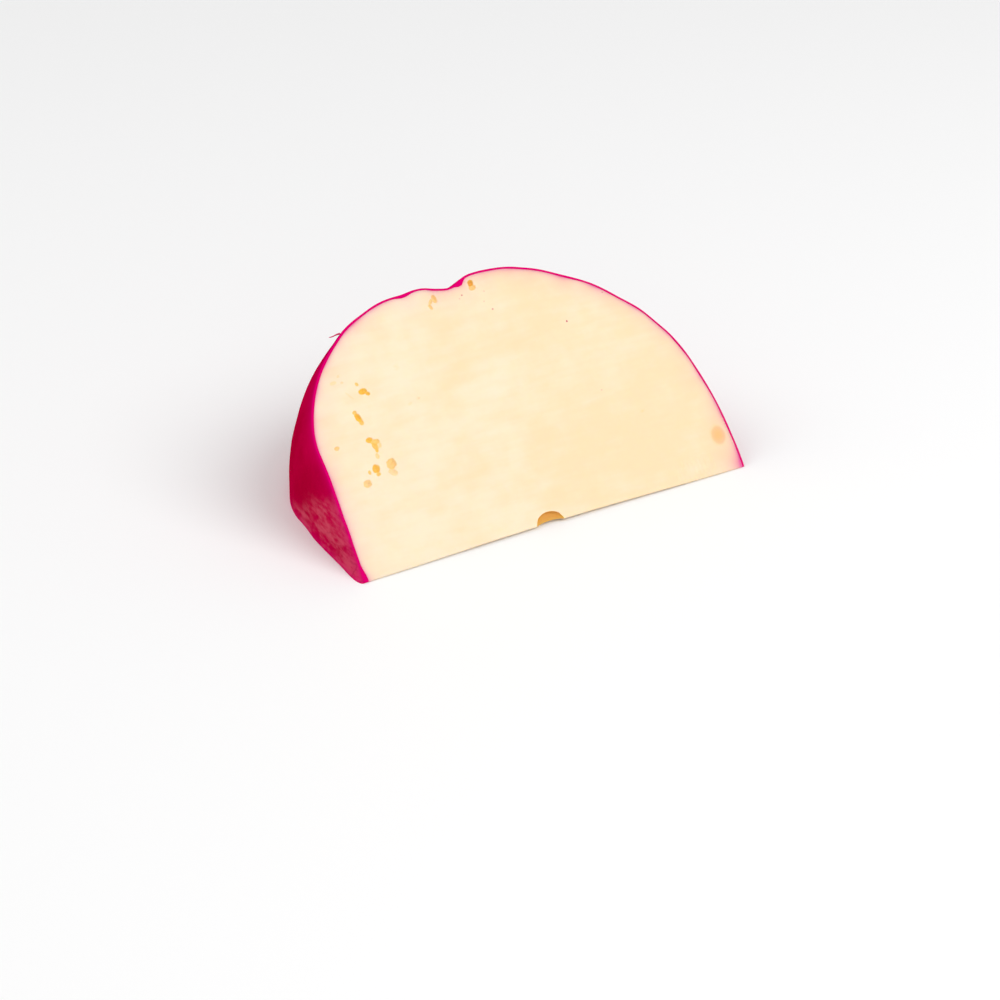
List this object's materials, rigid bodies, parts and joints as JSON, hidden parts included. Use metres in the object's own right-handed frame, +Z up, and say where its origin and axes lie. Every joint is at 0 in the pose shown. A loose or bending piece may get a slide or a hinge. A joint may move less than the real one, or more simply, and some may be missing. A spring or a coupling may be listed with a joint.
{
  "type": "wedge of ball cheese",
  "caption": "Wedge cut from a small pressed ball of cheese, pale inside with small eyes, with a thin bright pink-red coat on its round side, lying on one cut face.",
  "frame": {"origin": "on the resting cut face, under the middle of the piece's bounding box", "axes": "+X along the sharp front edge, which is the whole ball's own axis, from its flat foot to its round crown; +Z up from the resting cut face; +Y from the front edge towards the round side"},
  "size_m": [0.125, 0.077, 0.0575],
  "materials": {
    "paste": "pale cream cheese paste, satin and slightly moist where it was cut, with ochre linings in the eyes",
    "coat": "thin waxy magenta-red coat, satin, scuffed where the ball stood on its foot"
  },
  "bodies": {
    "root": {"cheese": "paste", "coat": "coat"}
  },
  "joints": []
}
